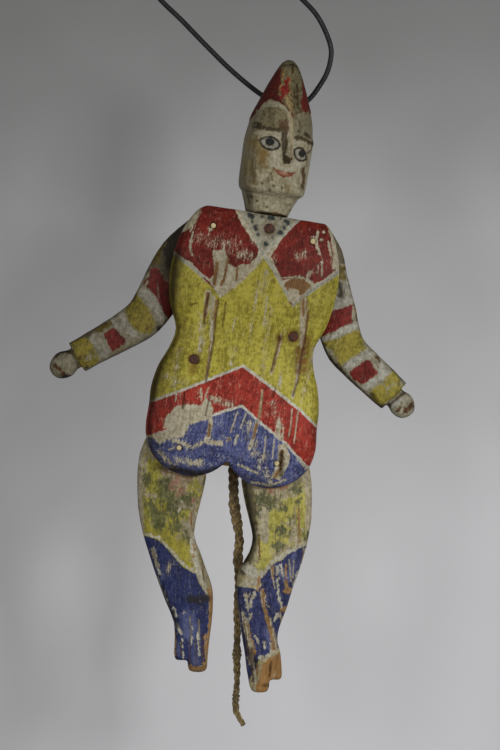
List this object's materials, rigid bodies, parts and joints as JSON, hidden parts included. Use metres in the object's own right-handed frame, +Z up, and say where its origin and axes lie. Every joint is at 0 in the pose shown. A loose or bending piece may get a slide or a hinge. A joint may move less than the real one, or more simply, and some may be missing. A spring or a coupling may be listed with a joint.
{
  "type": "pull-string jumping jack",
  "caption": "Carved and painted wooden jumping jack with a pointed hat: pegged arms and legs swing out when the plaited cord between its legs is pulled. Hangs from a black cord.",
  "frame": {"origin": "centre of the screw eye in the back of the head, which the hanging cord runs through", "axes": "+Z up as the figure hangs, -Y the figure's front, +X the figure's left. The body leans 9 degrees about +Y, its head towards +X, as it hangs in the picture."},
  "size_m": [0.2046, 0.0449, 0.4612],
  "materials": {
    "painted_wood": "worn oil paint over a pale ground, satin",
    "bare_wood": "aged bare softwood",
    "iron": "dark iron wire",
    "rusty_iron": "rusty round head",
    "black_cord": "waxed round cord",
    "hemp_cord": "plaited hemp, grimy",
    "string": "twisted string"
  },
  "bodies": {
    "torso": {"torso_front": "painted_wood", "back_board": "bare_wood", "head": "painted_wood", "screw_eye": "iron", "neck_nail": "rusty_iron", "belly_nail_right": "rusty_iron", "belly_nail_left": "rusty_iron", "belly_spacer_right": "bare_wood", "belly_spacer_left": "bare_wood", "shoulder_peg_right": "bare_wood", "shoulder_peg_left": "bare_wood", "hip_peg_right": "bare_wood", "hip_peg_left": "bare_wood", "hanging_cord": "black_cord", "hanging_knot": "black_cord"},
    "right_arm": {"right_arm": "painted_wood", "right_arm_tie": "string"},
    "left_arm": {"left_arm": "painted_wood", "left_arm_tie": "string"},
    "right_leg": {"right_leg": "painted_wood", "right_leg_tie": "string"},
    "left_leg": {"left_leg": "painted_wood", "left_leg_tie": "string"},
    "pull": {"pull_cord": "hemp_cord", "pull_knots": "hemp_cord", "junction_knot": "string", "arm_string_right": "string", "arm_string_left": "string", "leg_string_right": "string", "leg_string_left": "string"}
  },
  "joints": [
    {"name": "left_leg_swing", "type": "hinge", "parent": "torso", "child": "left_leg", "pos_m": [-0.0035, -0.0124, -0.19789], "axis": [0, -1, 0], "range_deg": [0, 55.5]},
    {"name": "right_leg_swing", "type": "hinge", "parent": "torso", "child": "right_leg", "pos_m": [-0.05782, -0.0124, -0.18929], "axis": [0, 1, 0], "range_deg": [0, 56]},
    {"name": "left_arm_swing", "type": "hinge", "parent": "torso", "child": "left_arm", "pos_m": [0.01655, -0.0124, -0.07451], "axis": [0, -1, 0], "range_deg": [0, 84.5]},
    {"name": "right_arm_swing", "type": "hinge", "parent": "torso", "child": "right_arm", "pos_m": [-0.03876, -0.0124, -0.06575], "axis": [0, 1, 0], "range_deg": [0, 84.5]},
    {"name": "pull_slide", "type": "slide", "parent": "torso", "child": "pull", "axis": [0, 0, -1], "range_m": [0, 0.0171]}
  ],
  "couplings": [
    {"joint": "right_leg_swing", "follows": "left_leg_swing", "ratio": 1},
    {"joint": "left_arm_swing", "follows": "left_leg_swing", "ratio": 1.51},
    {"joint": "right_arm_swing", "follows": "left_leg_swing", "ratio": 1.51},
    {"joint": "pull_slide", "follows": "left_leg_swing", "m_per_rad": 0.01754}
  ]
}
